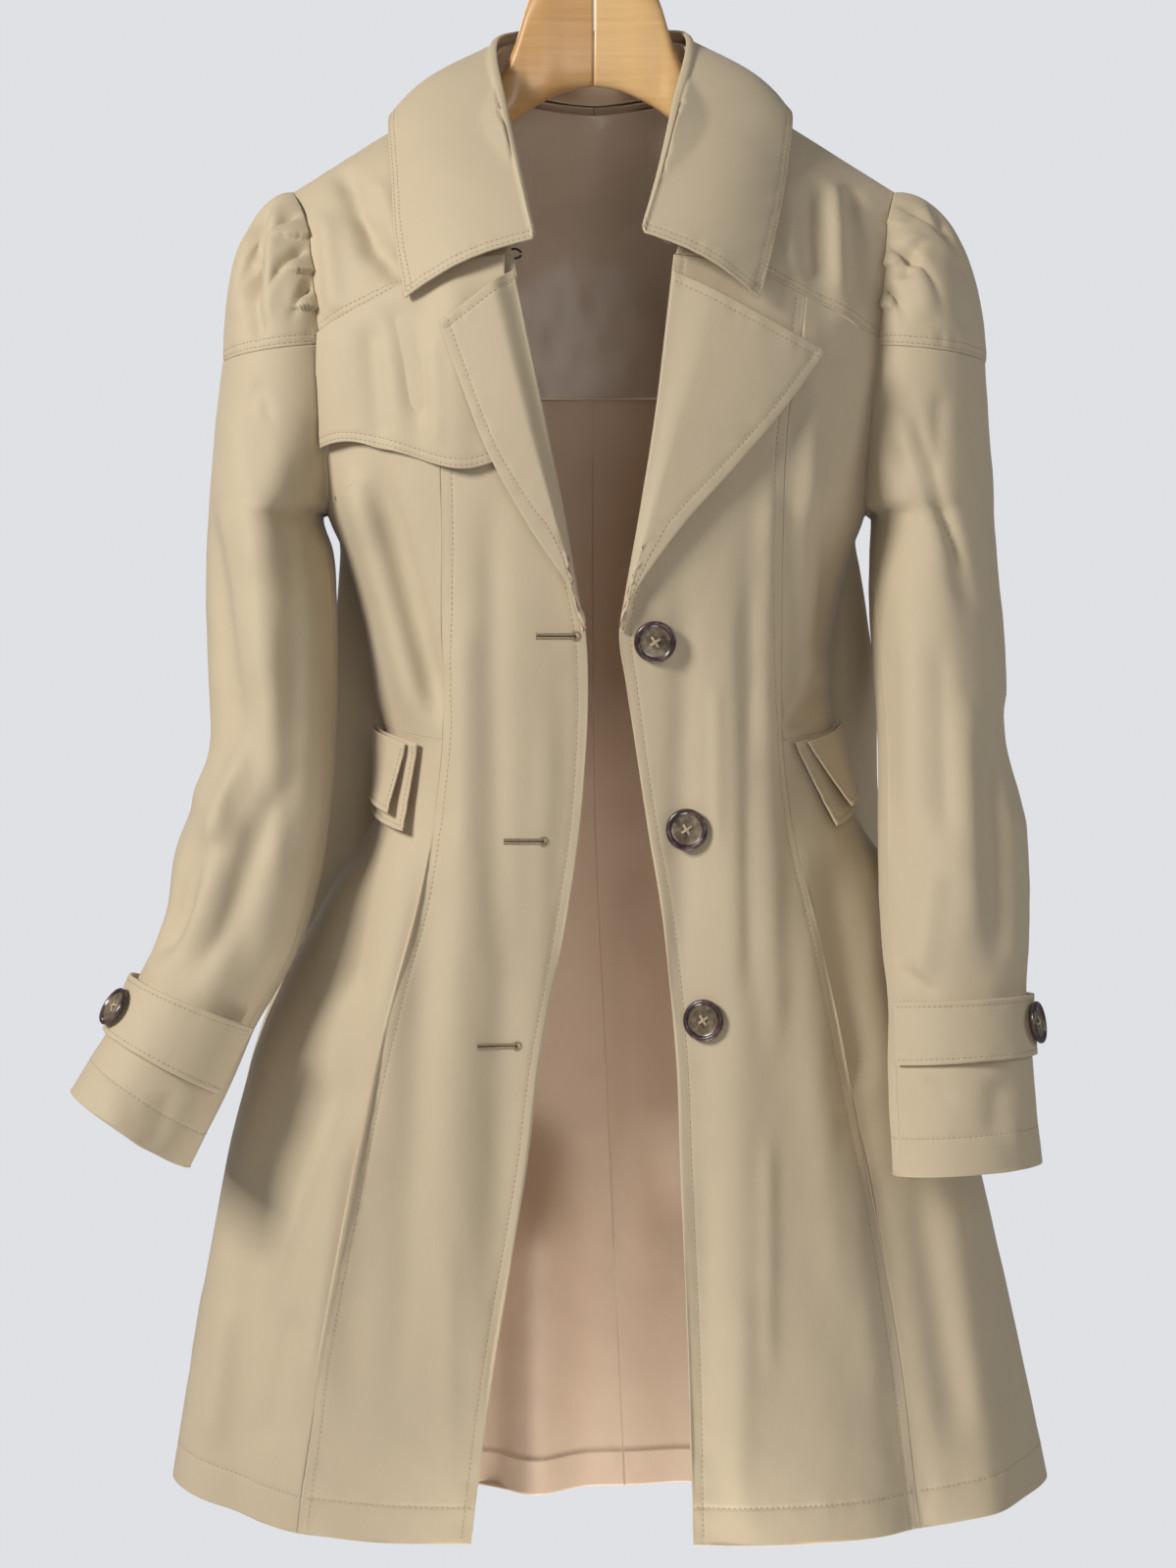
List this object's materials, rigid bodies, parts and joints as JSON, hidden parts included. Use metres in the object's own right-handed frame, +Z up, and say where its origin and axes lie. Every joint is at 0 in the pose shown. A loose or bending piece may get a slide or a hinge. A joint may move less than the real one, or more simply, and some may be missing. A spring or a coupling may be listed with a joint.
{
  "type": "trench coat on a hanger",
  "caption": "Fitted single-breasted trench coat, hanging open on a contoured wooden hanger, with puffed sleeves and cuff straps.",
  "frame": {"origin": "inside of the hook's crown, where a rail carries the hanger", "axes": "+Z up, the coat faces -Y, +X is the wearer's left side"},
  "size_m": [0.5866, 0.2581, 1.03],
  "materials": {
    "gabardine": "soft sheen twill",
    "satin": "satin",
    "wood": "satin lacquer",
    "steel": "polished",
    "horn": "polished"
  },
  "bodies": {
    "root": {"centre_front_right": "gabardine", "side_front_right": "gabardine", "side_skirt_right": "gabardine", "front_yoke_right": "gabardine", "back_right": "gabardine", "lapel_right": "gabardine", "sleeve_cap_right": "gabardine", "top_sleeve_right": "gabardine", "under_sleeve_right": "gabardine", "cuff_strap_right": "gabardine", "pocket_flap_upper_right": "gabardine", "pocket_flap_under_right": "gabardine", "hanger_right": "wood", "cuff_button_right": "horn", "centre_front_left": "gabardine", "side_front_left": "gabardine", "side_skirt_left": "gabardine", "front_yoke_left": "gabardine", "back_left": "gabardine", "lapel_left": "gabardine", "sleeve_cap_left": "gabardine", "top_sleeve_left": "gabardine", "under_sleeve_left": "gabardine", "cuff_strap_left": "gabardine", "pocket_flap_upper_left": "gabardine", "pocket_flap_under_left": "gabardine", "hanger_left": "wood", "cuff_button_left": "horn", "storm_flap": "gabardine", "collar_leaf": "gabardine", "collar_stand": "gabardine", "neck_lining": "satin", "button_top": "horn", "button_middle": "horn", "button_low": "horn", "hook": "steel"}
  },
  "joints": []
}
